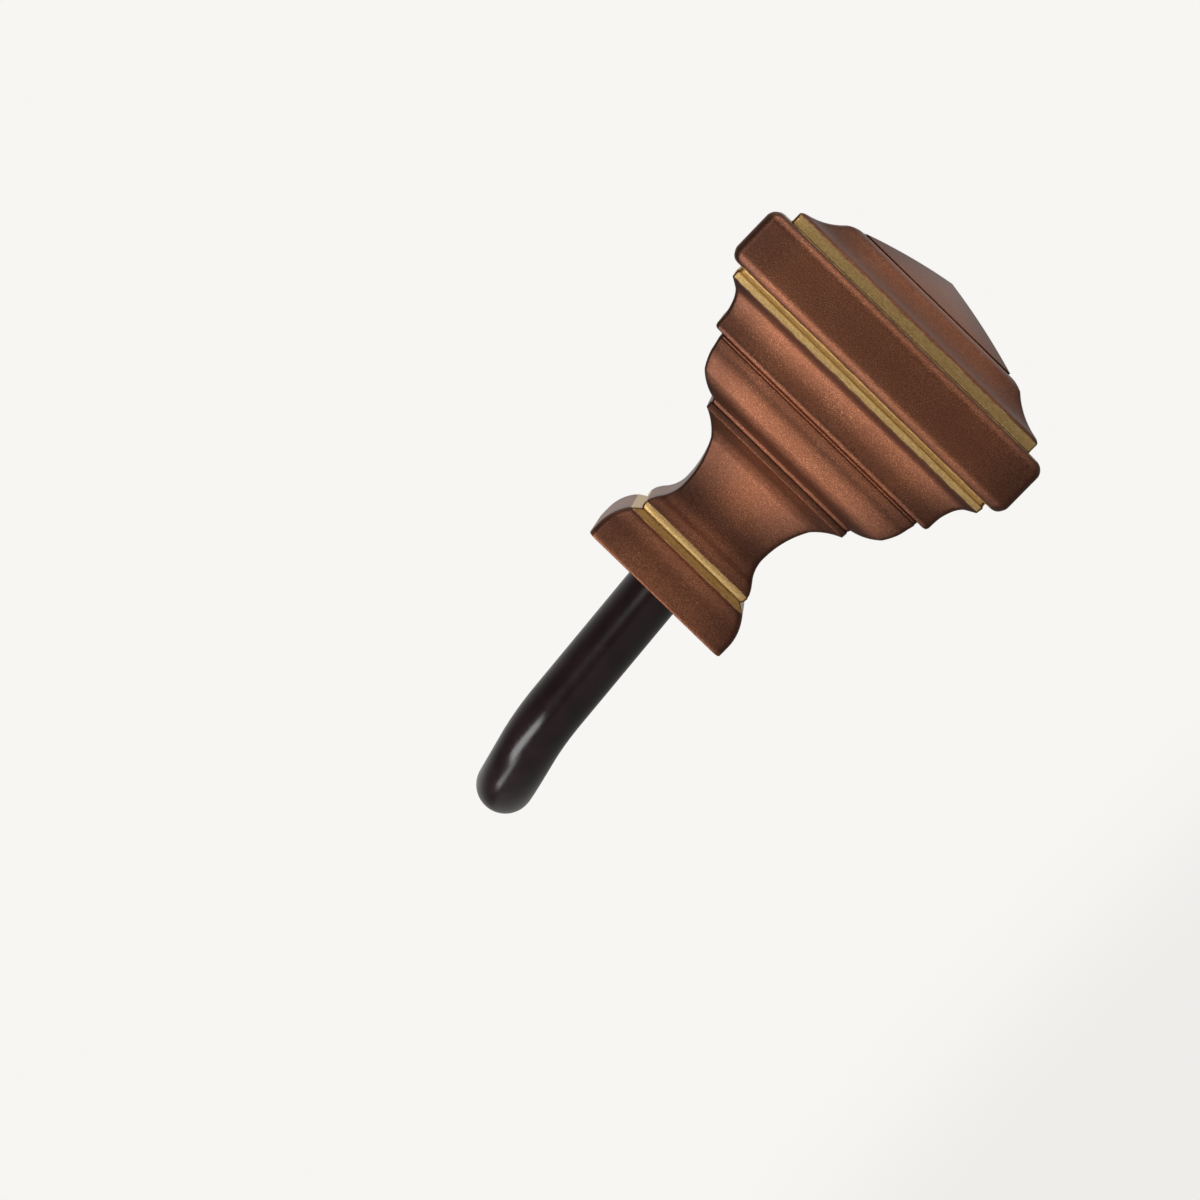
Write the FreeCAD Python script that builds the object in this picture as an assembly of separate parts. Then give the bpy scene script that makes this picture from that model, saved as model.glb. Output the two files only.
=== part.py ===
import FreeCAD, Part
import math
import os

# Wall holdback: a square moulded head on a bent round arm, screwed on a stud in the wall.
# Millimetres, +Z up. The wall is the plane Y = 0 and the room is on the -Y side.
# The origin is the centre of the wall fitting's back face, at the mouth of its thread.

os.makedirs("parts", exist_ok=True)
Vector = FreeCAD.Vector
X_AXIS = Vector(1, 0, 0)
Y_AXIS = Vector(0, 1, 0)
Z_AXIS = Vector(0, 0, 1)
ORIGIN = Vector(0, 0, 0)

# Arm tube and its route
tube_diameter = 12.7
tube_wall = 1.2
projection = 80.0              # wall plane to the head's axis
front_run = 39.1               # head's back face to the corner of the front bend
bend_radius = 24.0             # centreline radius of both bends
elbow_straight = 0.2           # what stays straight between the two bends
front_slope_deg = 4.6          # the front run rises this much towards the head
elbow_turn_deg = 27.6          # plan angle of the run between the bends, towards the wall
elbow_slope_deg = 12.4         # the run between the bends rises this much towards the head

# Screw joint between arm and head
thread_diameter = 6.0
thread_clearance = 0.05        # radial room between a thread's two parts
fit_clearance = 0.05           # radial room round a piece that is pressed or glued in
recess_depth = 3.0             # the tube's end is let into the head
recess_clearance = 0.2         # room round the tube's end, and under it
plug_length = 12.0
insert_rim_inset = 0.15        # the insert's rim lies this far inside the tube's bore
insert_length = 16.0
insert_end_wall = 1.5          # closed end of the insert
key_groove_depth = 0.6         # two grooves key the insert into the casting
key_groove_width = 1.6
stud_end_room = 0.5            # room beyond each end of the stud

# Wall fitting: it carries the tube on to the wall and is screwed on the wall's own stud
fitting_length = 16.0          # wall to the tube's end
fitting_edge_chamfer = 0.4     # at both ends of its outside
fitting_spigot_length = 12.0   # what lies inside the tube
wall_thread_depth = 13.5

# Head, from its back face to its tip: lengths run along its axis, and rises and drops are
# changes of the half width across flats
base_half = 18.4
back_edge_round = 0.5
base_straight = 3.0
shoulder_length = 6.6
shoulder_drop = 2.5
flank_length = 1.2
flank_drop = 1.7
lip_rise = 0.3
lip_length = 1.8
ogee_length = 3.0
ogee_end_rise = 1.45           # the ogee ends this far outside the waist
waist_half = 11.3
waist_length = 4.8             # end of the ogee to the narrowest place
flare_length = 14.8
flare_rise = 7.85
bead_length = 2.2
bead_rise = 0.15
quarter_round_length = 11.0
quarter_round_rise = 7.6
cove_step = 2.5
cove_straight = 4.8
cove_length = 5.2
cove_rise = 4.2
back_line_length = 2.2         # raised line behind the band
band_rise = 3.4
band_length = 13.0
band_edge_round = 2.4
front_line_drop = 4.35
front_line_length = 2.4        # raised line in front of the band
cyma_length = 5.95
cyma_drop = 12.55
cap_groove_depth = 0.4
cap_groove_width = 0.35
cap_length = 5.1

# Route of the arm, as the corners that its two bends round off


def run_direction(turn_deg, slope_deg):
    """Direction of a run of the arm, from its head side to its wall side."""
    turn = math.radians(turn_deg)
    slope = math.radians(slope_deg)
    return Vector(
        -math.cos(slope) * math.cos(turn),
        math.cos(slope) * math.sin(turn),
        -math.sin(slope),
    )


def tangent_length(before, after):
    """From a corner of the route to where the bend begins."""
    return bend_radius * math.tan(before.getAngle(after) / 2)


tube_radius = tube_diameter / 2
plug_radius = tube_radius - tube_wall - fit_clearance
thread_hole_radius = thread_diameter / 2 + thread_clearance
insert_radius = tube_radius - tube_wall - insert_rim_inset
front_direction = run_direction(0, front_slope_deg)
elbow_direction = run_direction(elbow_turn_deg, elbow_slope_deg)
front_tangent = tangent_length(front_direction, elbow_direction)
wall_tangent = tangent_length(elbow_direction, Y_AXIS)
elbow_run = front_tangent + elbow_straight + wall_tangent
wall_corner = Vector(0, elbow_run * elbow_direction.y - projection, 0)
front_corner = wall_corner - elbow_direction * elbow_run
head_back = front_corner - front_direction * front_run
arm_axis = -front_direction

tube_wall_end = Vector(0, -fitting_length, 0)


def on_arm_axis(distance):
    """Point on the arm's axis, measured into the head from its back face."""
    return head_back + arm_axis * distance


tube_end_depth = recess_depth - recess_clearance
tube_head_end = on_arm_axis(tube_end_depth)


def bend(corner, towards_start, towards_end, tangent):
    """Start, middle and end of the arc that rounds off a corner of the route."""
    bisector = towards_start + towards_end
    bisector.normalize()
    half_angle = towards_start.getAngle(towards_end) / 2
    centre = corner + bisector * (bend_radius / math.sin(half_angle))
    start = corner + towards_start * tangent
    end = corner + towards_end * tangent
    return start, centre - bisector * bend_radius, end


def arm_route():
    wall_bend = bend(wall_corner, Y_AXIS, -elbow_direction, wall_tangent)
    front_bend = bend(front_corner, elbow_direction, arm_axis, front_tangent)
    edges = [
        Part.LineSegment(tube_wall_end, wall_bend[0]),
        Part.Arc(*wall_bend),
        Part.LineSegment(wall_bend[2], front_bend[0]),
        Part.Arc(*front_bend),
        Part.LineSegment(front_bend[2], tube_head_end),
    ]
    return Part.Wire([edge.toShape() for edge in edges])


def make_arm_tube():
    route = arm_route()
    rods = []
    for radius in (tube_radius, tube_radius - tube_wall):
        section = Part.Wire(Part.makeCircle(radius, tube_wall_end, -Y_AXIS))
        rods.append(route.makePipeShell([section], True, True))
    return rods[0].cut(rods[1])


# Head


class Outline:
    """Half outline in the plane of X and Z, drawn by moves from the point reached last."""

    def __init__(self):
        self.here = Vector(0, 0, 0)
        self.edges = []

    def line(self, length, rise):
        end = self.here + Vector(length, 0, rise)
        self.edges.append(Part.LineSegment(self.here, end).toShape())
        self.here = end

    def arc(self, length, rise, along, up):
        """Arc through a point given as shares of the arc's own length and rise."""
        end = self.here + Vector(length, 0, rise)
        through = self.here + Vector(along * length, 0, up * rise)
        self.edges.append(Part.Arc(self.here, through, end).toShape())
        self.here = end


def head_outline():
    outline = Outline()
    half_round = (1 - math.sqrt(0.5), math.sqrt(0.5))
    lip_half = base_half - shoulder_drop - flank_drop + lip_rise
    ogee_drop = lip_half - waist_half - ogee_end_rise

    # Base with its rounded shoulder, down to the fine groove and the lip
    outline.line(0, base_half - back_edge_round)
    outline.arc(back_edge_round, back_edge_round, *half_round)
    outline.line(base_straight - back_edge_round, 0)
    outline.arc(shoulder_length, -shoulder_drop, 0.6, 0.34)
    outline.line(flank_length, -flank_drop)
    outline.line(lip_rise, lip_rise)
    outline.line(lip_length - lip_rise, 0)

    # Neck: ogee, waist and flare
    outline.arc(ogee_length, -ogee_drop, 0.43, 0.31)
    outline.arc(waist_length, -ogee_end_rise, 0.5, 0.8)
    slow_flare = (0.72, 0.35)
    outline.arc(slow_flare[0] * flare_length, slow_flare[1] * flare_rise, 0.55, 0.3)
    outline.arc((1 - slow_flare[0]) * flare_length, (1 - slow_flare[1]) * flare_rise, 0.62, 0.5)
    outline.line(bead_length, bead_rise)

    # Quarter round in two arcs, then step and cove
    steep_part = (0.3, 0.72)
    outline.arc(
        steep_part[0] * quarter_round_length, steep_part[1] * quarter_round_rise, 0.38, 0.54
    )
    outline.arc(
        (1 - steep_part[0]) * quarter_round_length,
        (1 - steep_part[1]) * quarter_round_rise,
        0.42,
        0.72,
    )
    outline.line(0, cove_step)
    outline.line(cove_straight, 0)
    outline.arc(cove_length, cove_rise, 0.6, 0.34)
    outline.line(back_line_length, 0)

    # Band with rounded edges, down to the raised line in front of it
    outline.line(0, band_rise - band_edge_round)
    outline.arc(band_edge_round, band_edge_round, *half_round)
    outline.line(band_length - 2 * band_edge_round, 0)
    outline.arc(band_edge_round, -band_edge_round, half_round[1], half_round[0])
    outline.line(0, band_edge_round - front_line_drop)
    outline.line(front_line_length, 0)

    # Second cove with its rounded edges, fine groove and low domed cap
    cyma_edge = (0.12, 0.09)
    cyma_nose = (0.15, 0.29)
    hollow = (1 - cyma_edge[0] - cyma_nose[0], 1 - cyma_edge[1] - cyma_nose[1])
    outline.arc(cyma_edge[0] * cyma_length, -cyma_edge[1] * cyma_drop, 0.62, 0.42)
    outline.arc(hollow[0] * cyma_length, -hollow[1] * cyma_drop, 0.33, 0.5)
    outline.arc(cyma_nose[0] * cyma_length, -cyma_nose[1] * cyma_drop, 0.72, 0.4)
    outline.line(0, -cap_groove_depth)
    outline.line(cap_groove_width, cap_groove_depth)
    outline.arc(cap_length, -outline.here.z, 0.6, 0.52)
    return outline.edges


def make_head():
    """The two prisms of the outline, one turned by a quarter, meet in the mitred head."""
    half = Part.Wire(head_outline())
    other_half = half.mirror(ORIGIN, Z_AXIS)
    face = Part.Face(Part.Wire(Part.__sortEdges__(half.Edges + other_half.Edges)))
    reach = 2 * face.BoundBox.ZMax
    face.translate(Y_AXIS * -reach)
    prism = face.extrude(Y_AXIS * 2 * reach)
    turned_prism = prism.copy()
    turned_prism.rotate(ORIGIN, X_AXIS, 90)
    head = prism.common(turned_prism)
    head.translate(head_back)

    # Recess for the tube's end and hole for the insert, both in line with the arm
    recess = Part.makeCylinder(
        tube_radius + recess_clearance,
        tube_diameter + recess_depth,
        on_arm_axis(-tube_diameter),
        arm_axis,
    )
    insert_hole = Part.makeCylinder(
        insert_radius + fit_clearance,
        recess_depth + insert_length + fit_clearance,
        head_back,
        arm_axis,
    )
    return head.cut(recess.fuse(insert_hole))


# Pieces of the screw joint, in line with the arm


def make_threaded_insert():
    start = on_arm_axis(recess_depth)
    insert = Part.makeCylinder(insert_radius, insert_length, start, arm_axis)
    thread_depth = insert_length - insert_end_wall
    insert = insert.cut(Part.makeCylinder(thread_hole_radius, thread_depth, start, arm_axis))
    for share in (1 / 3, 2 / 3):
        place = start + arm_axis * (share * insert_length - key_groove_width / 2)
        ring = Part.makeCylinder(2 * insert_radius, key_groove_width, place, arm_axis)
        core_radius = insert_radius - key_groove_depth
        core = Part.makeCylinder(core_radius, key_groove_width, place, arm_axis)
        insert = insert.cut(ring.cut(core))
    return insert


def make_tube_plug():
    start = on_arm_axis(tube_end_depth - plug_length)
    body = Part.makeCylinder(plug_radius, plug_length, start, arm_axis)
    return body.cut(Part.makeCylinder(thread_hole_radius, plug_length, start, arm_axis))


def make_stud():
    start = tube_end_depth - plug_length + stud_end_room
    end = recess_depth + insert_length - insert_end_wall - stud_end_room
    return Part.makeCylinder(thread_diameter / 2, end - start, on_arm_axis(start), arm_axis)


# Wall fitting, turned about the Y axis


def make_wall_fitting():
    """Points of the half section are given as radius and distance from the wall."""
    edge_radius = tube_radius - fitting_edge_chamfer
    spigot_end = fitting_length + fitting_spigot_length
    points = [
        (thread_hole_radius, 0),
        (edge_radius, 0),
        (tube_radius, fitting_edge_chamfer),
        (tube_radius, fitting_length - fitting_edge_chamfer),
        (edge_radius, fitting_length),
        (plug_radius, fitting_length),
        (plug_radius, spigot_end),
        (0, spigot_end),
        (0, wall_thread_depth),
        (thread_hole_radius, wall_thread_depth),
    ]
    corners = [Vector(radius, -depth, 0) for radius, depth in points]
    section = Part.Face(Part.makePolygon(corners + corners[:1]))
    return section.revolve(ORIGIN, Y_AXIS, 360)


def save(shape, node):
    solid = shape.removeSplitter()
    if not solid.isValid() or len(solid.Solids) != 1:
        raise ValueError(node + " is not one valid solid")
    solid.exportStep("parts/" + node + ".step")


save(make_head(), "head")
save(make_threaded_insert(), "threaded_insert")
save(make_stud(), "stud")
save(make_tube_plug(), "tube_plug")
save(make_arm_tube(), "arm_tube")
save(make_wall_fitting(), "wall_fitting")
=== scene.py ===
import math

import bpy
import numpy as np
from mathutils import Euler, Matrix, Vector, noise


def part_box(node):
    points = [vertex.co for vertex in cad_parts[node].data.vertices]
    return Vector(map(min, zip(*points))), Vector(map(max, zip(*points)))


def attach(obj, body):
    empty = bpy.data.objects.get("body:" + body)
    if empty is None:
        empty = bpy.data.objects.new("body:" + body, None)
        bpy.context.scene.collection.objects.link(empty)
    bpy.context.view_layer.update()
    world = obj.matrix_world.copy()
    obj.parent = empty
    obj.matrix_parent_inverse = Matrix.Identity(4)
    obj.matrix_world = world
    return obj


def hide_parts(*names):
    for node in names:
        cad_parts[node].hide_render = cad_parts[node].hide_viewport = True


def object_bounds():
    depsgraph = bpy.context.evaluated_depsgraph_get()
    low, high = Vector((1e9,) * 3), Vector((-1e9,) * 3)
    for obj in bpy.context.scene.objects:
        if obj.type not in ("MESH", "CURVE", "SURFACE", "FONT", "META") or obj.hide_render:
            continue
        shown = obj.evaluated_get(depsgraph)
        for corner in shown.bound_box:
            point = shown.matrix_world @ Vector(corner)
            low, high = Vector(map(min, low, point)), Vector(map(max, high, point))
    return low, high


# Looks of the wall holdback: a square cast head with hand-painted gold lines on a lacquered arm.
# Lengths are millimetres in the object's own frame, and turn into metres as they reach Blender.

for name in ("Cube", "Light", "Camera"):
    if name in bpy.data.objects:
        bpy.data.objects.remove(bpy.data.objects[name])

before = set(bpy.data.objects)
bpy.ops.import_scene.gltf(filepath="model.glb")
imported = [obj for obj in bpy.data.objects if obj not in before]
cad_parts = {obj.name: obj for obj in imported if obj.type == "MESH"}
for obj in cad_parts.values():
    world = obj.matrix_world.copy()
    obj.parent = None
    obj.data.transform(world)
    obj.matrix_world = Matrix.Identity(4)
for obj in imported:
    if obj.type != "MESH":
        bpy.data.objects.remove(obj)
cad_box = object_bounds()

MM = 0.001
TO_MM = 1000.0
SAME_SPOT = 0.002              # points of the solid this near each other are one
SHARP_EDGE_DEG = 40.0          # edges that turn more than this aren't smoothed in the shading

# Arm tube and its joint with the head
TUBE_DIAMETER = 12.7
TUBE_RADIUS = TUBE_DIAMETER / 2
TUBE_WALL = 1.2
PROJECTION = 80.0              # wall plane to the head's axis
BEND_RADIUS = 24.0
FRONT_RUN = 39.1               # head's back face to the corner of the front bend
FRONT_SLOPE_DEG = 4.6
ELBOW_TURN_DEG = 27.6
ELBOW_SLOPE_DEG = 12.4
ELBOW_STRAIGHT = 0.2
TUBE_WALL_END = 16.0           # wall plane to the tube's wall end, on the fitting's shoulder
FITTING_CHAMFER = 0.4
SPIGOT_LENGTH = 12.0           # part of the fitting that lies inside the tube
THREAD_DIAMETER = 6.0
THREAD_PITCH = 1.0
THREAD_RIDGE = 0.5             # height of the thread
THREAD_FLAT = 1 / 12           # share of half a pitch that is flat at the crest, and as much at the root
THREAD_STEPS = 8               # rings of points on each turn
THREAD_DEPTH = 13.5            # depth of the fitting's threaded hole
RECESS_DEPTH = 3.0
RECESS_CLEARANCE = 0.2
INSERT_RADIUS = 5.0
INSERT_LENGTH = 16.0
FIT_CLEARANCE = 0.05
TUBE_FACETS = 96
TUBE_STEP = 0.6                # along the tube's bends
HOLE_CENTRE = 0.01             # radius of the ring that closes the insert's hole

# Head: places along its axis from its back face
GOLD_LINES = (                 # start, end, strength of painted shade over it, place of a thin line of painted shade in it
    (9.6, 12.6, 0.0, 10.95),
    (58.25, 60.75, 0.0, 59.66),
    (73.5, 75.95, 0.13, 73.68),
)
GOLD_FADE = 0.06               # half the width over which a gold line's edge fades
GOLD_CORNER_GAP = 0.1          # the gold stops this far short of each mitre
GOLD_CORNER_FADE = 0.3
# Thin line of painted shade along the fine relief of each gold line
SHADE_LINE_FADE = (0.06, 0.2)       # distances from its middle between which it fades
SHADE_LINE_STRENGTH = 0.6
BRUSH_WANDER = 0.45            # how far the painted edges wander
HEAD_SIDES = 10.0              # only what lies further out than this is painted gold
MITRE_SHADE_BEGINS = (0.3, 1.5)      # places along the axis between which the painted shade by the mitres sets in
WIDE_MITRE_SHADE = (0.0, 13.0, 0.5)  # distances from the mitre between which the painted shade by the mitres fades, strength
WIDE_MITRE_SHADE_WANDER = 4.0        # how far its edge wanders
THIN_MITRE_SHADE = (0.2, 2.0, 0.35)  # the same as the wide one, for the darker painted shade on the mitre itself
PAINTED_SHADE_STRIPS = (              # place along the axis, reach to both sides, strength of the painted shade
    (20.0, 3.5, 0.35),
    (33.5, 0.9, 0.3),
    (36.2, 1.3, 0.4),
    (38.7, 1.4, 0.4),
    (45.3, 1.1, 0.28),
    (49.4, 1.0, 0.3),
    (57.7, 1.2, 0.65),
    (61.2, 0.9, 0.4),
    (67.0, 6.5, 0.2),
    (73.3, 0.5, 0.5),
    (77.0, 2.0, 0.3),
)
EDGE_SOFTNESS = 0.09           # spread of casting and paint over each sharp edge
FINE_RELIEF = (                # place along the axis, how far the surface stands out there
    (9.1, 0.0),
    (9.4, -0.12),
    (9.7, 0.0),
    (10.6, 0.0),
    (10.95, -0.3),
    (11.6, -0.05),
    (12.4, 0.04),
    (12.75, -0.14),
    (13.0, 0.0),
    (36.5, 0.0),
    (36.75, -0.2),
    (37.3, 0.06),
    (37.4, 0.0),
    (42.8, 0.0),
    (43.8, 0.025),
    (44.6, 0.02),
    (45.4, -0.01),
    (46.2, 0.03),
    (47.55, 0.24),
    (47.72, 0.04),
    (47.95, 0.2),
    (48.25, 0.18),
    (48.38, 0.0),
    (58.3, 0.0),
    (59.5, 0.25),
    (59.75, 0.04),
    (60.05, 0.0),
    (60.8, 0.0),
    (61.8, -0.12),
    (63.1, 0.0),
    (73.6, 0.0),
    (73.72, 0.12),
    (74.0, 0.0),
    (81.85, 0.0),
    (82.0, 0.22),
    (82.25, 0.0),
)
COVE = (                       # place along the axis and half width of the cove behind the band
    (48.4, 28.6),
    (48.6, 29.1),
    (49.2, 29.36),
    (51.8, 29.49),
    (53.2, 29.77),
    (54.4, 30.16),
    (55.2, 30.48),
    (56.0, 30.95),
    (56.6, 31.42),
    (57.0, 31.95),
    (58.05, 33.6),
)
COVE_START_HALF = 28.0         # the step up to the cove passes this half width
PAST_COVE = 2.0                # lower points this far past the cove belong to the head's front
MITRE_ROUNDS = (               # place along the axis, radius of the rounded mitre there
    (0.0, 1.5),
    (9.0, 1.5),
    (10.5, 0.7),
    (20.0, 1.0),
    (34.0, 0.7),
    (48.0, 0.8),
    (50.0, 1.1),
    (57.0, 1.0),
    (58.5, 0.6),
    (61.2, 1.9),
    (73.0, 1.9),
    (74.0, 0.8),
    (82.0, 0.6),
    (87.4, 0.4),
)
OUTLINE_STEP = 0.04
LARGEST_ROUND = 0.8            # of a ring's half width
BACK_RINGS = (0.35, 0.75)      # rings on the flat back face, by share of the way from recess to edge
BACK_RING_ROUND = 0.6          # these turn from round by the recess to square at the edge
SIDE_FACETS = 16               # along each flat side of a ring
MITRE_FACETS = 8               # round each mitre
CASTING_WAVE = 0.05            # deepest unevenness of the casting
WAVE_LENGTH = 14.0

# Camera and its lens
CAMERA_PLACE = (132.8, -748.8, 39.7)
CAMERA_TURN_DEG = 7.35         # to the left of +Y
CAMERA_PITCH_DEG = -2.17
CAMERA_ROLL_DEG = -46.02       # the picture shows the object lying aslant
LENS = 96.55
SENSOR = 36.0
CLIP_END = 20.0                # in metres

X_AXIS = Vector((1, 0, 0))
Y_AXIS = Vector((0, 1, 0))
Z_AXIS = Vector((0, 0, 1))


def colour(red, green, blue):
    """Linear colour from the usual 0 to 255 values."""
    linear = []
    for value in (red, green, blue):
        share = value / 255
        linear.append(share / 12.92 if share <= 0.04045 else ((share + 0.055) / 1.055) ** 2.4)
    return (*linear, 1.0)


def put(tree, kind, inputs=None, **settings):
    """Adds a node; an input is a value or another node's output. Returns its outputs."""
    node = tree.nodes.new(kind)
    for name, value in settings.items():
        setattr(node, name, value)
    for name, value in (inputs or {}).items():
        if isinstance(value, bpy.types.NodeSocket):
            tree.links.new(value, node.inputs[name])
        else:
            node.inputs[name].default_value = value
    return node.outputs


def smooth_step(tree, value, low, high, start=0.0, end=1.0):
    """Runs smoothly from start where the value is low to end where it is high."""
    inputs = {"Value": value, "From Min": low, "From Max": high, "To Min": start, "To Max": end}
    return put(tree, "ShaderNodeMapRange", inputs, interpolation_type="SMOOTHSTEP")["Result"]


def mixed_number(tree, share, first, second):
    """The first number where the share is 0 and the second where it is 1."""
    return put(tree, "ShaderNodeMix", {0: share, 2: first, 3: second}, data_type="FLOAT")[0]


class Finish:
    """One material and the short calls that build its nodes."""

    def __init__(self, name):
        self.material = bpy.data.materials.new(name)
        self.material.use_nodes = True
        self.tree = self.material.node_tree
        self.shader = self.tree.nodes["Principled BSDF"]
        self.place = put(self.tree, "ShaderNodeTexCoord")["Object"]

    def set(self, **values):
        for name, value in values.items():
            socket = self.shader.inputs[name.replace("_", " ")]
            if isinstance(value, bpy.types.NodeSocket):
                self.tree.links.new(value, socket)
            else:
                socket.default_value = value

    def math(self, operation, first, second=0.0):
        return put(self.tree, "ShaderNodeMath", {0: first, 1: second}, operation=operation)[0]

    def noise(self, size, detail=2.0, roughness=0.5, stretch=(1.0, 1.0, 1.0)):
        """Noise about 0.5 whose blotches are about size mm, drawn out by stretch."""
        scale = [1 / (size * MM * factor) for factor in stretch]
        place = put(self.tree, "ShaderNodeVectorMath", {0: self.place, 1: scale}, operation="MULTIPLY")
        inputs = {"Vector": place[0], "Scale": 1.0, "Detail": detail, "Roughness": roughness}
        return put(self.tree, "ShaderNodeTexNoise", inputs)["Fac"]

    def ramp(self, value, low, high, start=0.0, end=1.0):
        return smooth_step(self.tree, value, low, high, start, end)

    def distance(self, value, place):
        """How far a number is from another."""
        return self.math("ABSOLUTE", self.math("SUBTRACT", value, place))

    def blend(self, share, first, second):
        """Mix of two colours."""
        return put(self.tree, "ShaderNodeMix", {0: share, 6: first, 7: second}, data_type="RGBA")[2]

    def level(self, share, first, second):
        """Mix of two numbers."""
        return mixed_number(self.tree, share, first, second)

    def bump(self, height, depth, below=None):
        """Unevenness of the given depth in mm at height 1, added to the one below."""
        inputs = {"Height": height, "Distance": depth * MM}
        if below is not None:
            inputs["Normal"] = below
        return put(self.tree, "ShaderNodeBump", inputs)["Normal"]


def new_piece(name, points, faces, finishes, finish_of_face=None):
    """Piece of the object from points in mm, which rides on its only body."""
    mesh = bpy.data.meshes.new(name)
    mesh.from_pydata([tuple(point * MM) for point in points], [], faces)
    for finish in finishes:
        mesh.materials.append(finish.material)
    mesh.polygons.foreach_set("use_smooth", [True] * len(mesh.polygons))
    if finish_of_face is not None:
        mesh.polygons.foreach_set("material_index", finish_of_face)
    mesh.set_sharp_from_angle(angle=math.radians(SHARP_EDGE_DEG))
    mesh.update()
    piece = bpy.data.objects.new(name, mesh)
    bpy.context.scene.collection.objects.link(piece)
    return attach(piece, "root")


def between_rings(ring_count, ring_size):
    """Quads that join rings of points one after another."""
    faces = []
    for ring in range(ring_count - 1):
        start = ring * ring_size
        for spot in range(ring_size):
            here = start + spot
            onward = start + (spot + 1) % ring_size
            faces.append((here, onward, onward + ring_size, here + ring_size))
    return faces


# Head's outline, taken from the solid

head_low, head_high = (corner * TO_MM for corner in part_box("head"))
HEAD_BACK = Vector((head_low.x, (head_low.y + head_high.y) / 2, (head_low.z + head_high.z) / 2))


def mitre_outline():
    """Points (distance from the back face, half width) along one mitre edge of the solid."""
    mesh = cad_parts["head"].data
    spots = {}
    for vertex in mesh.vertices:
        place = vertex.co * TO_MM - HEAD_BACK
        on_mitre = place.y < place.z + SAME_SPOT and abs(place.y + place.z) < SAME_SPOT
        if on_mitre:
            spots[vertex.index] = (round(place.x, 3), round(place.z, 3))
    nearby = {}
    for edge in mesh.edges:
        ends = [spots.get(index) for index in edge.vertices]
        if None not in ends and ends[0] != ends[1]:
            nearby.setdefault(ends[0], set()).add(ends[1])
            nearby.setdefault(ends[1], set()).add(ends[0])
    outline = [max(spot for spot in nearby if spot[0] == 0.0)]
    while True:
        here = outline[-1]
        onward = [spot for spot in nearby[here] if spot not in outline]
        if not onward:
            # A flat step across the axis has no edge along the mitre
            onward = [spot for spot in nearby if spot[0] >= here[0] and spot not in outline]
        if not onward:
            return np.array(outline)
        outline.append(min(onward))


def smooth_curve(corners, step, sharp_deg=16.0):
    """Dense points of a curve through the corners, which bends at those that turn sharply."""
    moves = np.diff(corners, axis=0)
    lengths = np.linalg.norm(moves, axis=1)
    ways = moves / lengths[:, None]
    leaving = [ways[0]]
    arriving = [ways[0]]
    for index in range(1, len(moves)):
        before, after = ways[index - 1], ways[index]
        if before @ after > math.cos(math.radians(sharp_deg)):
            through = moves[index - 1] + moves[index]
            before = after = through / np.linalg.norm(through)
        arriving.append(before)
        leaving.append(after)
    arriving.append(ways[-1])
    points = []
    for index, length in enumerate(lengths):
        count = max(2, round(length / step))
        for share in np.arange(count) / count:
            squared, cubed = share**2, share**3
            points.append(
                (2 * cubed - 3 * squared + 1) * corners[index]
                + (cubed - 2 * squared + share) * length * leaving[index]
                + (3 * squared - 2 * cubed) * corners[index + 1]
                + (cubed - squared) * length * arriving[index + 1]
            )
    points.append(corners[-1])
    return np.array(points)


def even_steps(points, step):
    """The same curve with its points one step apart."""
    run = np.concatenate([[0], np.cumsum(np.linalg.norm(np.diff(points, axis=0), axis=1))])
    places = np.linspace(0, run[-1], round(run[-1] / step) + 1)
    return np.column_stack([np.interp(places, run, points[:, axis]) for axis in (0, 1)])


def softened(points, step, spread):
    """The curve with its edges rounded off over about the given length."""
    reach = math.ceil(3 * spread / step)
    weights = np.exp(-0.5 * (np.arange(-reach, reach + 1) * step / spread) ** 2)
    weights /= weights.sum()
    padded = np.pad(points, ((reach, reach), (0, 0)), mode="edge")
    soft = np.column_stack([np.convolve(padded[:, axis], weights, mode="valid") for axis in (0, 1)])
    soft[0] = points[0]
    soft[-1] = points[-1]
    return soft


def stations(points, longest=0.8, turn_deg=4.0):
    """Fewer points: one after each stretch that is long enough or turns enough."""
    kept = [points[0]]
    way = points[1] - points[0]
    for before, here, after in zip(points[:-2], points[1:-1], points[2:]):
        onward = after - here
        cosine = way @ onward / (np.linalg.norm(way) * np.linalg.norm(onward))
        turned = cosine < math.cos(math.radians(turn_deg))
        if turned or np.linalg.norm(here - kept[-1]) > longest:
            kept.append(here)
            way = onward
    kept.append(points[-1])
    return np.array(kept)


def square_ring(half, mitre_round):
    """Offsets in Y and Z round a square with rounded corners."""
    mitre_round = min(mitre_round, LARGEST_ROUND * half)
    flat = half - mitre_round
    ring = []
    for side in range(4):
        turn = math.radians(90 * side)
        cosine, sine = math.cos(turn), math.sin(turn)
        local = []
        for step in range(SIDE_FACETS):
            local.append((-flat + 2 * flat * step / SIDE_FACETS, half))
        for step in range(MITRE_FACETS):
            angle = math.radians(90 * step / MITRE_FACETS)
            local.append((flat + mitre_round * math.sin(angle), flat + mitre_round * math.cos(angle)))
        for along, out in local:
            ring.append((along * cosine + out * sine, out * cosine - along * sine))
    return np.array(ring)


# Arm's route and the axis of its joint with the head


def run_direction(turn_deg, slope_deg):
    """Direction of a run of the arm, from its head side to its wall side."""
    turn = math.radians(turn_deg)
    slope = math.radians(slope_deg)
    level = math.cos(slope)
    return Vector((-level * math.cos(turn), level * math.sin(turn), -math.sin(slope)))


front_direction = run_direction(0, FRONT_SLOPE_DEG)
elbow_direction = run_direction(ELBOW_TURN_DEG, ELBOW_SLOPE_DEG)
arm_axis = -front_direction


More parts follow.
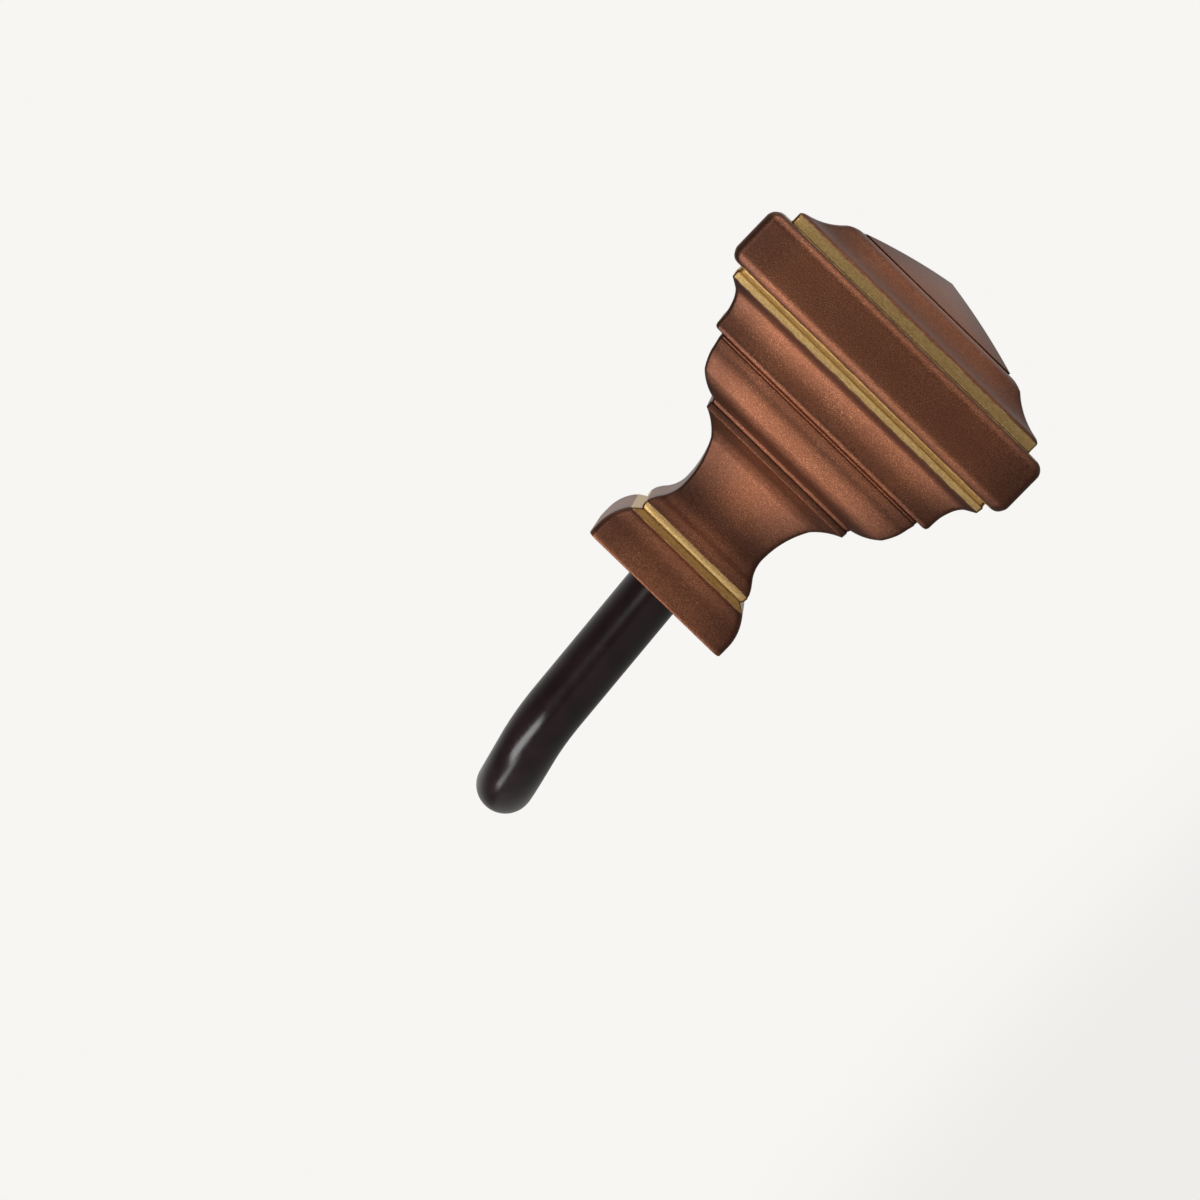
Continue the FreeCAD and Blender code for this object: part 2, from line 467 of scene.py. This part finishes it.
def axis_ring(radius, distance, directions, at_back_face=False):
    """Ring about the arm's axis, relative to the centre of the head's back face."""
    side = Y_AXIS
    up = arm_axis.cross(side)
    ring = []
    for across, rise in directions:
        length = math.hypot(across, rise)
        point = arm_axis * distance + (side * across + up * rise) * (radius / length)
        if at_back_face:
            point -= arm_axis * (point.x / arm_axis.x)
        ring.append(point)
    return ring


def head_outline():
    """Points (distance from the back face, half width) of the dressed head, with its fine relief."""
    solid = mitre_outline()
    cove_start, cove_end = COVE[0][0], COVE[-1][0]
    cove_end_half = COVE[-1][1] - SAME_SPOT
    before = solid[(solid[:, 0] <= cove_start + SAME_SPOT) & (solid[:, 1] < COVE_START_HALF)]
    band = solid[(solid[:, 0] > cove_end) & (solid[:, 1] > cove_end_half)]
    front = solid[(solid[:, 0] > cove_end + PAST_COVE) & (solid[:, 1] <= cove_end_half)]
    outline = even_steps(smooth_curve(np.vstack([before, COVE, band, front]), OUTLINE_STEP), OUTLINE_STEP)
    outline[:, 1] += np.interp(outline[:, 0], *zip(*FINE_RELIEF))
    return stations(softened(outline, OUTLINE_STEP, EDGE_SOFTNESS))


def make_head(paint, bare_casting):
    outline = head_outline()
    mitre_places, mitre_radii = zip(*MITRE_ROUNDS)
    directions = square_ring(half=1.0, mitre_round=0.1)
    recess = TUBE_RADIUS + RECESS_CLEARANCE
    hole = INSERT_RADIUS + FIT_CLEARANCE
    hole_end = RECESS_DEPTH + INSERT_LENGTH + FIT_CLEARANCE
    rings = [
        axis_ring(HOLE_CENTRE, hole_end, directions),
        axis_ring(hole, hole_end, directions),
        axis_ring(hole, RECESS_DEPTH, directions),
        axis_ring(recess, RECESS_DEPTH, directions),
        axis_ring(recess, 0, directions, at_back_face=True),
    ]
    bare_rings = len(rings) - 1
    back_half = outline[0][1]
    for share in BACK_RINGS:
        half = recess + share * (back_half - recess)
        ring_round = BACK_RING_ROUND * half * (1 - share) + mitre_radii[0]
        rings.append([Vector((0, y, z)) for y, z in square_ring(half, ring_round)])
    for along, half in outline[:-1]:
        ring = []
        for y, z in square_ring(half, np.interp(along, mitre_places, mitre_radii)):
            wave = noise.noise(Vector((along, y, z)) / WAVE_LENGTH)
            shrink = 1 - CASTING_WAVE * (0.5 + 0.5 * wave) / max(half, 1.0)
            ring.append(Vector((along, y * shrink, z * shrink)))
        rings.append(ring)
    ring_size = len(rings[0])
    faces = between_rings(len(rings), ring_size)
    finish_of_face = [1 if face < bare_rings * ring_size else 0 for face in range(len(faces))]
    points = [HEAD_BACK + point for ring in rings for point in ring]
    tip = len(points)
    points.append(HEAD_BACK + Vector((outline[-1][0], 0, 0)))
    last = tip - ring_size
    for spot in range(ring_size):
        faces.append((last + spot, last + (spot + 1) % ring_size, tip))
        finish_of_face.append(0)
    faces.append(tuple(reversed(range(ring_size))))
    finish_of_face.append(1)
    head = new_piece("head_casting", points, faces, [paint, bare_casting], finish_of_face)
    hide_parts("head")


def arm_line():
    """Points along the tube's middle, from its wall end to its head end."""
    front_tangent = BEND_RADIUS * math.tan(front_direction.angle(elbow_direction) / 2)
    wall_tangent = BEND_RADIUS * math.tan(elbow_direction.angle(Y_AXIS) / 2)
    elbow_run = front_tangent + ELBOW_STRAIGHT + wall_tangent
    wall_corner = Vector((0, elbow_run * elbow_direction.y - PROJECTION, 0))
    front_corner = wall_corner - elbow_direction * elbow_run
    line = [Vector((0, -TUBE_WALL_END, 0))]
    for corner, start, end, tangent in (
        (wall_corner, Y_AXIS, -elbow_direction, wall_tangent),
        (front_corner, elbow_direction, arm_axis, front_tangent),
    ):
        bisector = (start + end).normalized()
        half_angle = start.angle(end) / 2
        centre = corner + bisector * (BEND_RADIUS / math.sin(half_angle))
        spoke = corner + start * tangent - centre
        sweep = math.pi - 2 * half_angle
        turn_axis = spoke.cross(-start).normalized()
        count = round(BEND_RADIUS * sweep / TUBE_STEP)
        for step in range(count + 1):
            line.append(centre + Matrix.Rotation(sweep * step / count, 3, turn_axis) @ spoke)
    line.append(front_corner + arm_axis * (FRONT_RUN + RECESS_DEPTH - RECESS_CLEARANCE))
    return line


def make_arm(lacquer):
    line = arm_line()
    side = X_AXIS.copy()
    crossings = []
    for index, spot in enumerate(line):
        before = line[max(index - 1, 0)]
        after = line[min(index + 1, len(line) - 1)]
        way = (after - before).normalized()
        side = (side - way * side.dot(way)).normalized()
        crossings.append((spot, side.copy(), way.cross(side)))
    points = []
    for radius, order in ((TUBE_RADIUS, crossings), (TUBE_RADIUS - TUBE_WALL, reversed(crossings))):
        for spot, side, up in order:
            for facet in range(TUBE_FACETS):
                angle = 2 * math.pi * facet / TUBE_FACETS
                points.append(spot + (side * math.cos(angle) + up * math.sin(angle)) * radius)
    faces = between_rings(len(points) // TUBE_FACETS, TUBE_FACETS)
    last = len(points) - TUBE_FACETS
    for facet in range(TUBE_FACETS):
        onward = (facet + 1) % TUBE_FACETS
        faces.append((last + facet, last + onward, onward, facet))
    arm = new_piece("arm", points, faces, [lacquer])
    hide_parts("arm_tube")


def thread_radius(depth, turn):
    """Radius of the fitting's inner thread at a depth from the wall and a share of a turn."""
    across = (depth / THREAD_PITCH - turn) % 1.0
    flank = min(across, 1 - across) * 2
    rise = (flank - THREAD_FLAT) / (1 - 2 * THREAD_FLAT)
    return THREAD_DIAMETER / 2 - THREAD_RIDGE * min(max(rise, 0.0), 1.0)


def make_wall_fitting(lacquer, steel):
    edge = TUBE_RADIUS - FITTING_CHAMFER
    spigot_end = TUBE_WALL_END + SPIGOT_LENGTH
    outside = [
        (TUBE_RADIUS - TUBE_WALL - FIT_CLEARANCE, spigot_end),
        (TUBE_RADIUS - TUBE_WALL - FIT_CLEARANCE, TUBE_WALL_END),
        (edge, TUBE_WALL_END),
        (TUBE_RADIUS, TUBE_WALL_END - FITTING_CHAMFER),
        (TUBE_RADIUS, FITTING_CHAMFER),
        (edge, 0.0),
    ]
    rings = [[(radius, depth)] * TUBE_FACETS for radius, depth in outside]
    for depth in np.arange(0.0, THREAD_DEPTH, THREAD_PITCH / THREAD_STEPS):
        rings.append([(thread_radius(depth, facet / TUBE_FACETS), depth) for facet in range(TUBE_FACETS)])
    points = []
    for ring in rings:
        for facet, (radius, depth) in enumerate(ring):
            angle = 2 * math.pi * facet / TUBE_FACETS
            points.append(Vector((radius * math.cos(angle), -depth, radius * math.sin(angle))))
    faces = between_rings(len(rings), TUBE_FACETS)
    finish_of_face = [0 if face < len(outside) * TUBE_FACETS else 1 for face in range(len(faces))]
    faces.append(tuple(reversed(range(TUBE_FACETS))))
    faces.append(tuple(range(len(points) - TUBE_FACETS, len(points))))
    finish_of_face += [1, 1]
    fitting = new_piece("wall_end", points, faces, [lacquer, steel], finish_of_face)
    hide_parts("wall_fitting")


# Finishes

DARK_BROWN = colour(110, 68, 50)
LIGHT_BROWN = colour(150, 95, 71)
CLOUD_BROWN = colour(128, 77, 54)
BROWN_GLINT = colour(206, 142, 98)
DARK_GOLD = colour(203, 162, 98)
LIGHT_GOLD = colour(226, 189, 125)
GOLD_GLINT = colour(248, 222, 160)
# Colours of painted shade, and of the darker painted shade on the mitres
PAINTED_SHADE = colour(60, 42, 38)
MITRE_SHADE_COLOUR = colour(38, 26, 24)


def head_places(finish):
    """Distances in mm of a spot of the head: along the axis, out from it, and off the nearest mitre."""
    spot = put(finish.tree, "ShaderNodeSeparateXYZ", {0: finish.place})
    along, across, rise = (
        finish.math("MULTIPLY", finish.math("SUBTRACT", spot[axis], HEAD_BACK[axis] * MM), TO_MM)
        for axis in range(3)
    )
    across = finish.math("ABSOLUTE", across)
    rise = finish.math("ABSOLUTE", rise)
    return along, finish.math("MAXIMUM", across, rise), finish.distance(across, rise)


def brown_paint(finish, along, edge, off_mitre, grain, sparkle):
    """Colour of the copper-brown paint, with painted shade by the mitres and in strips."""
    cloud = finish.noise(7.0, detail=3.0)
    brown = finish.blend(finish.ramp(grain, 0.32, 0.68), DARK_BROWN, LIGHT_BROWN)
    brown = finish.blend(sparkle, brown, BROWN_GLINT)
    brown = finish.blend(finish.ramp(cloud, 0.3, 0.7, 0.0, 0.3), brown, CLOUD_BROWN)
    # Painted shade by the mitres: a wide band whose edge wanders, and a darker thin one on the mitre
    # itself
    off_back_face = finish.ramp(along, *MITRE_SHADE_BEGINS)
    wander = finish.math("MULTIPLY", finish.math("SUBTRACT", cloud, 0.5), WIDE_MITRE_SHADE_WANDER)
    for distance, (near, far, strength), tone in (
        (finish.math("ADD", off_mitre, wander), WIDE_MITRE_SHADE, PAINTED_SHADE),
        (off_mitre, THIN_MITRE_SHADE, MITRE_SHADE_COLOUR),
    ):
        share = finish.math("MULTIPLY", finish.ramp(distance, near, far, strength, 0.0), off_back_face)
        brown = finish.blend(share, brown, tone)
    # Painted shade in strips round the head: in the hollows beside steps and gold lines, and over the
    # band's face
    for place, reach, strength in PAINTED_SHADE_STRIPS:
        share = finish.ramp(finish.distance(edge, place), 0.0, reach, strength, 0.0)
        brown = finish.blend(share, brown, PAINTED_SHADE)
    return brown


def gold_paint(finish, along, edge, streak, sparkle):
    """Share of gold along the head's axis, and its colour with painted shade over it and in thin lines."""
    yellow = finish.blend(finish.ramp(streak, 0.35, 0.65), DARK_GOLD, LIGHT_GOLD)
    yellow = finish.blend(sparkle, yellow, GOLD_GLINT)
    gold = 0.0
    for start, end, darkness, shade_line_place in GOLD_LINES:
        begun = finish.ramp(edge, start - GOLD_FADE, start + GOLD_FADE)
        ended = finish.ramp(edge, end - GOLD_FADE, end + GOLD_FADE)
        line = finish.math("SUBTRACT", begun, ended)
        gold = finish.math("MAXIMUM", gold, line)
        # Painted shade over the line, and a thin line of painted shade along its fine relief
        yellow = finish.blend(finish.math("MULTIPLY", line, darkness), yellow, PAINTED_SHADE)
        shade_line = finish.ramp(finish.distance(along, shade_line_place), *SHADE_LINE_FADE, SHADE_LINE_STRENGTH, 0.0)
        yellow = finish.blend(shade_line, yellow, PAINTED_SHADE)
    return gold, yellow


def head_paint_finish():
    """Copper-brown satin paint with fine metallic grain and painted shade, and gold lines laid on by hand.
    """
    finish = Finish("head_paint")
    along, outward, off_mitre = head_places(finish)
    brush = finish.noise(3.0, detail=3.0)
    wander = finish.math("MULTIPLY", finish.math("SUBTRACT", brush, 0.5), BRUSH_WANDER)
    edge = finish.math("ADD", along, wander)
    off_mitre = finish.math("ADD", off_mitre, wander)
    grain = finish.noise(0.26, detail=3.0, roughness=0.6)
    streak = finish.noise(0.22, detail=3.0, roughness=0.6, stretch=(1.0, 3.0, 3.0))
    sparkle = finish.ramp(finish.noise(0.2, detail=1.0), 0.57, 0.68, 0.0, 0.75)
    brown = brown_paint(finish, along, edge, off_mitre, grain, sparkle)
    gold, yellow = gold_paint(finish, along, edge, streak, sparkle)
    gold = finish.math("MULTIPLY", gold, finish.math("GREATER_THAN", outward, HEAD_SIDES))
    clear_of_mitre = finish.ramp(off_mitre, GOLD_CORNER_GAP, GOLD_CORNER_GAP + GOLD_CORNER_FADE)
    gold = finish.math("MULTIPLY", gold, clear_of_mitre)
    aslant = put(finish.tree, "ShaderNodeLayerWeight", {"Blend": 0.5})["Facing"]
    brown_roughness = finish.ramp(grain, 0.3, 0.7, 0.4, 0.5)
    gold_roughness = finish.ramp(streak, 0.3, 0.7, 0.34, 0.42)
    finish.set(
        Base_Color=finish.blend(gold, brown, yellow),
        Metallic=finish.level(gold, 0.9, 0.75),
        Coat_Weight=finish.ramp(aslant, 0.5, 0.95, 0.0, 0.3),
        Coat_Roughness=0.35,
        Roughness=finish.level(gold, brown_roughness, gold_roughness),
        Normal=finish.bump(streak, 0.014, finish.bump(grain, 0.012)),
    )
    return finish


def bare_casting_finish():
    """Unpainted casting inside the head's hole."""
    finish = Finish("bare_casting")
    grain = finish.noise(0.8, detail=3.0)
    finish.set(
        Base_Color=finish.blend(grain, colour(120, 116, 110), colour(160, 156, 148)),
        Roughness=0.75,
        Normal=finish.bump(grain, 0.05),
    )
    return finish


def lacquer_finish():
    """Satin espresso lacquer over the arm."""
    finish = Finish("arm_lacquer")
    cloud = finish.noise(5.0)
    peel = finish.noise(1.6)
    finish.set(
        Base_Color=finish.blend(finish.ramp(cloud, 0.3, 0.7), colour(27, 14, 16), colour(36, 22, 24)),
        Roughness=finish.ramp(peel, 0.3, 0.7, 0.21, 0.25),
        Specular_IOR_Level=0.42,
        Normal=finish.bump(peel, 0.003),
    )
    return finish


def metal_finish(name, dark, light):
    """Metal turned about an axis near X, with fine tool marks round it."""
    finish = Finish(name)
    marks = finish.noise(0.3, detail=3.0, roughness=0.6, stretch=(1.0, 12.0, 12.0))
    cloud = finish.noise(4.0)
    finish.set(
        Base_Color=finish.blend(cloud, dark, light),
        Metallic=1.0,
        Roughness=finish.ramp(marks, 0.3, 0.7, 0.3, 0.45),
        Normal=finish.bump(marks, 0.01),
    )
    return finish


def dress(node, finish):
    """Gives a solid that is shown as it is its finish."""
    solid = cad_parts[node]
    solid.data.materials.clear()
    solid.data.materials.append(finish.material)


paint = head_paint_finish()
lacquer = lacquer_finish()
make_head(paint, bare_casting_finish())
make_arm(lacquer)
steel = metal_finish("plated_steel", colour(168, 170, 172), colour(198, 200, 202))
brass = metal_finish("insert_brass", colour(176, 140, 78), colour(205, 170, 104))
make_wall_fitting(lacquer, steel)
dress("threaded_insert", brass)
dress("stud", steel)
dress("tube_plug", steel)

# Camera, floor and light

PALE = (0.93, 0.92, 0.90, 1.0)
FLOOR_DROP = 150.0             # below the lowest point of the object
FLOOR_REACH = 8000.0
FLOOR_COLOUR = (0.25, 0.247, 0.24, 1.0)
FLOOR_ROUGHNESS = 0.9
SHADOW_SHARE = 0.1             # share of the floor's own shading in what the camera sees
SHADOW_REACH = (150.0, 450.0)  # the floor's shading fades out between these distances
NEAR_FLOOR = (500.0, 1500.0)   # between these distances the mirrored floor turns into the room
NEAR_FLOOR_TONE = 0.33         # brightness of the near floor in the object's surfaces
ROOM_LIGHT = 0.36              # strength of the room's light on what isn't mirrored
ROOM_TONE = (0.09, 0.7)        # brightness of the mirrored room on its dark side and its bright side
ROOM_TONE_TURN = (0.1, 0.9)    # cosines off the bright side's direction where its tone begins and is full
BRIGHT_SIDE = Vector((0.45, 0.75, 0.45)).normalized()
LAMP_AIM = 20.0                # the lamps look at the head's axis this far from its back face
# Azimuth and elevation in degrees, distance, width and height in metres, power in watts
LAMPS = {
    "key": (53, 13, 0.45, 0.36, 0.14, 1.2),
    "side strip": (84, -1, 0.5, 0.34, 0.08, 0.28),
    "fill": (-64, 17, 0.5, 0.34, 0.2, 1.05),
    "front": (0, 25, 0.35, 0.12, 0.1, 0.16),
}


def add_camera():
    data = bpy.data.cameras.new("camera")
    data.lens = LENS
    data.sensor_width = SENSOR
    data.clip_end = CLIP_END
    camera = bpy.data.objects.new("camera", data)
    bpy.context.scene.collection.objects.link(camera)
    level = Euler((math.radians(90 + CAMERA_PITCH_DEG), 0, math.radians(CAMERA_TURN_DEG))).to_matrix()
    turned = level @ Matrix.Rotation(math.radians(CAMERA_ROLL_DEG), 3, "Z")
    camera.matrix_world = Matrix.Translation(Vector(CAMERA_PLACE) * MM) @ turned.to_4x4()
    bpy.context.scene.camera = camera


def add_softbox(name, azimuth_deg, elevation_deg, distance, width, height, power):
    """Area lamp that looks at the head; azimuth 0 is the room side and 90 the -X side."""
    azimuth = math.radians(azimuth_deg)
    elevation = math.radians(elevation_deg)
    out = Vector((-math.sin(azimuth), -math.cos(azimuth), 0)) * math.cos(elevation)
    out += Z_AXIS * math.sin(elevation)
    data = bpy.data.lights.new(name, "AREA")
    data.shape = "RECTANGLE"
    data.size = width
    data.size_y = height
    data.energy = power
    lamp = bpy.data.objects.new(name, data)
    bpy.context.scene.collection.objects.link(lamp)
    lamp.rotation_mode = "QUATERNION"
    lamp.rotation_quaternion = out.to_track_quat("Z", "Y")
    lamp.location = (HEAD_BACK + X_AXIS * LAMP_AIM) * MM + out * distance
    lamp.visible_camera = False


def straight_sight(tree):
    """Two shares: 1 for what the camera sees, and 1 for what it sees in metal and through glass."""
    path = put(tree, "ShaderNodeLightPath")
    rays = {0: path["Is Glossy Ray"], 1: path["Is Transmission Ray"]}
    mirrored = put(tree, "ShaderNodeMath", rays, operation="MAXIMUM")[0]
    return path["Is Camera Ray"], mirrored


def room_tone(tree, way):
    """Brightness of the room in the object's surfaces, by the direction they mirror."""
    cosine = put(tree, "ShaderNodeVectorMath", {0: way, 1: BRIGHT_SIDE}, operation="DOT_PRODUCT")["Value"]
    return smooth_step(tree, cosine, *ROOM_TONE_TURN, *ROOM_TONE)


def floor_material(under):
    """Pale ground whose own shading shows only near the spot under the object."""
    material = bpy.data.materials.new("floor")
    material.use_nodes = True
    tree = material.node_tree
    shader = tree.nodes["Principled BSDF"]
    shader.inputs["Base Color"].default_value = FLOOR_COLOUR
    shader.inputs["Roughness"].default_value = FLOOR_ROUGHNESS
    place = put(tree, "ShaderNodeTexCoord")["Object"]
    away = put(tree, "ShaderNodeVectorMath", {0: place, 1: under}, operation="DISTANCE")["Value"]
    shadow_near, shadow_far = (reach * MM for reach in SHADOW_REACH)
    glow_share = smooth_step(tree, away, shadow_near, shadow_far, 1 - SHADOW_SHARE, 1.0)
    seen, mirrored = straight_sight(tree)
    share = put(tree, "ShaderNodeMath", {0: seen, 1: glow_share}, operation="MULTIPLY")[0]
    glow = put(tree, "ShaderNodeEmission", {"Color": PALE, "Strength": 1.0})[0]
    ground = put(tree, "ShaderNodeMixShader", {0: share, 1: shader.outputs[0], 2: glow})[0]
    way = put(tree, "ShaderNodeVectorMath", {0: place, 1: under}, operation="SUBTRACT")[0]
    way = put(tree, "ShaderNodeVectorMath", {0: way}, operation="NORMALIZE")[0]
    near, far = (reach * MM for reach in NEAR_FLOOR)
    tone = mixed_number(tree, smooth_step(tree, away, near, far), NEAR_FLOOR_TONE, room_tone(tree, way))
    mirrored_glow = put(tree, "ShaderNodeEmission", {"Color": PALE, "Strength": tone})[0]
    surface = put(tree, "ShaderNodeMixShader", {0: mirrored, 1: ground, 2: mirrored_glow})[0]
    tree.links.new(surface, tree.nodes["Material Output"].inputs["Surface"])
    return material


def add_floor():
    centre = (cad_box[0] + cad_box[1]) / 2
    level = cad_box[0].z - FLOOR_DROP * MM
    reach = FLOOR_REACH * MM
    corners = [(x * reach, y * reach, level) for x, y in ((-1, -1), (1, -1), (1, 1), (-1, 1))]
    mesh = bpy.data.meshes.new("floor")
    mesh.from_pydata(corners, [], [(0, 1, 2, 3)])
    mesh.materials.append(floor_material((centre.x, centre.y, level)))
    floor = bpy.data.objects.new("floor", mesh)
    bpy.context.scene.collection.objects.link(floor)


def add_world():
    world = bpy.data.worlds.new("studio")
    world.use_nodes = True
    tree = world.node_tree
    background = tree.nodes["Background"]
    seen, mirrored = straight_sight(tree)
    tone = room_tone(tree, put(tree, "ShaderNodeTexCoord")["Generated"])
    room = mixed_number(tree, mirrored, ROOM_LIGHT, tone)
    strength = mixed_number(tree, seen, room, 1.0)
    background.inputs["Color"].default_value = PALE
    tree.links.new(strength, background.inputs["Strength"])
    bpy.context.scene.world = world


add_camera()
add_floor()
add_world()
for name, values in LAMPS.items():
    add_softbox(name, *values)

scene = bpy.context.scene
scene.view_settings.view_transform = "Standard"
